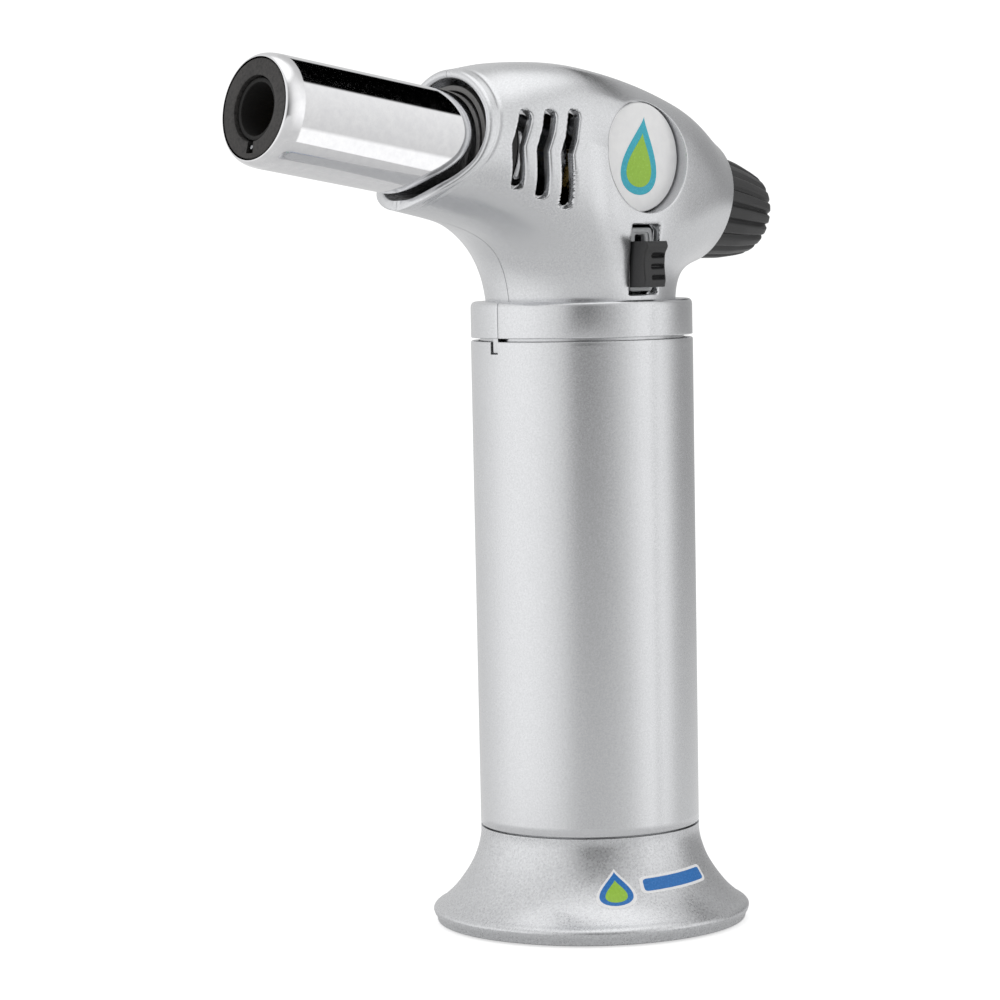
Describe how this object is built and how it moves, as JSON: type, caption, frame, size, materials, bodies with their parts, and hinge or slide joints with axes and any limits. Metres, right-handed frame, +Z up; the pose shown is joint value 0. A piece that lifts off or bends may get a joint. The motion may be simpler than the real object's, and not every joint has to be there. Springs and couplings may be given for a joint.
{
  "type": "butane torch",
  "caption": "Table-top butane torch with a round gas body on a flared base, a tilted flame tube, a fluted knob that pushes and turns, and a side lock slider.",
  "frame": {"origin": "centre of the bounding box at the base, on the surface the torch stands on", "axes": "+Z up along the body, -X towards the muzzle, +Y to the torch's right-hand shell"},
  "size_m": [0.1377, 0.0682, 0.1845],
  "materials": {
    "silver_paint": "satin silver paint with a fine flake",
    "silver_base": "satin silver paint with a printed band",
    "chrome": "polished chrome",
    "dark_steel": "heat-darkened steel",
    "steel": "bright steel",
    "brass": "turned brass",
    "aluminium": "drawn aluminium",
    "black_plastic": "matt moulded plastic",
    "grey_plastic": "matt moulded plastic",
    "clear_plastic": "smoky clear plastic",
    "badge_white": "gloss white with a printed ring and drop",
    "white_plastic": "gloss moulded plastic",
    "ceramic": "glazed ceramic",
    "rubber": "matt rubber",
    "felt": "felt wick",
    "red_wire": "insulated wire"
  },
  "bodies": {
    "root": {"base_foot": "silver_base", "base_plate": "black_plastic", "base_grip_ring": "rubber", "base_screw_1": "steel", "base_screw_2": "steel", "base_screw_3": "steel", "body_sleeve": "silver_paint", "tank_cup": "aluminium", "tank_lid": "aluminium", "gas_wick": "felt", "refill_valve_body": "brass", "refill_valve_spring": "steel", "outlet_valve_body": "brass", "valve_bracket": "steel", "lever_pin": "steel", "gas_hose": "black_plastic", "head_shell_left": "silver_paint", "head_shell_right": "silver_paint", "shell_screw_1": "steel", "shell_screw_2": "steel", "shell_screw_3": "steel", "badge_left": "badge_white", "badge_right": "badge_white", "flame_tube": "chrome", "heat_ring": "dark_steel", "muzzle_ring": "dark_steel", "burner_mount": "steel", "burner_tube": "dark_steel", "flame_holder": "brass", "mixing_tube": "brass", "gas_jet": "brass", "flow_valve_block": "brass", "igniter_return_spring": "steel", "piezo_body": "black_plastic", "ignition_lead": "red_wire", "electrode": "steel", "electrode_insulator": "ceramic", "lock_track": "clear_plastic"},
    "igniter": {"igniter_carriage": "grey_plastic", "piezo_plunger": "white_plastic"},
    "knob": {"ignition_knob": "black_plastic"},
    "spindle": {"flow_spindle": "brass"},
    "lever": {"valve_lever": "steel"},
    "outlet_stem": {"outlet_valve_stem": "steel"},
    "lock": {"lock_slider": "black_plastic"},
    "refill_stem": {"refill_valve_stem": "brass"}
  },
  "joints": [
    {"name": "igniter_push", "type": "slide", "parent": "root", "child": "igniter", "axis": [-0.9877, 0, 0.1564], "range_m": [0, 0.004], "stiffness_N_per_m": 2500, "deforming": ["igniter_return_spring"]},
    {"name": "flame_adjust", "type": "hinge", "parent": "igniter", "child": "knob", "pos_m": [0.05812, 0, 0.15285], "axis": [0.9877, 0, -0.1564], "range_deg": [-135, 135]},
    {"name": "spindle_turn", "type": "hinge", "parent": "root", "child": "spindle", "pos_m": [0.03836, 0, 0.15598], "axis": [0.9877, 0, -0.1564], "range_deg": [-135, 135]},
    {"name": "valve_lever_tip", "type": "hinge", "parent": "root", "child": "lever", "pos_m": [0.01425, 0, 0.1393], "axis": [0, -1, 0], "range_deg": [0, 17.2]},
    {"name": "outlet_stem_lift", "type": "slide", "parent": "root", "child": "outlet_stem", "axis": [0, 0, 1], "range_m": [0, 0.0014]},
    {"name": "lock_slide", "type": "slide", "parent": "root", "child": "lock", "axis": [0, 0, 1], "range_m": [-0.001, 0.003]},
    {"name": "refill_press", "type": "slide", "parent": "root", "child": "refill_stem", "axis": [0, 0, 1], "range_m": [0, 0.0012], "stiffness_N_per_m": 800, "deforming": ["refill_valve_spring"]}
  ],
  "couplings": [
    {"joint": "spindle_turn", "follows": "flame_adjust", "ratio": 1},
    {"joint": "valve_lever_tip", "follows": "igniter_push", "rad_per_m": 74.6},
    {"joint": "outlet_stem_lift", "follows": "igniter_push", "ratio": 0.33}
  ]
}
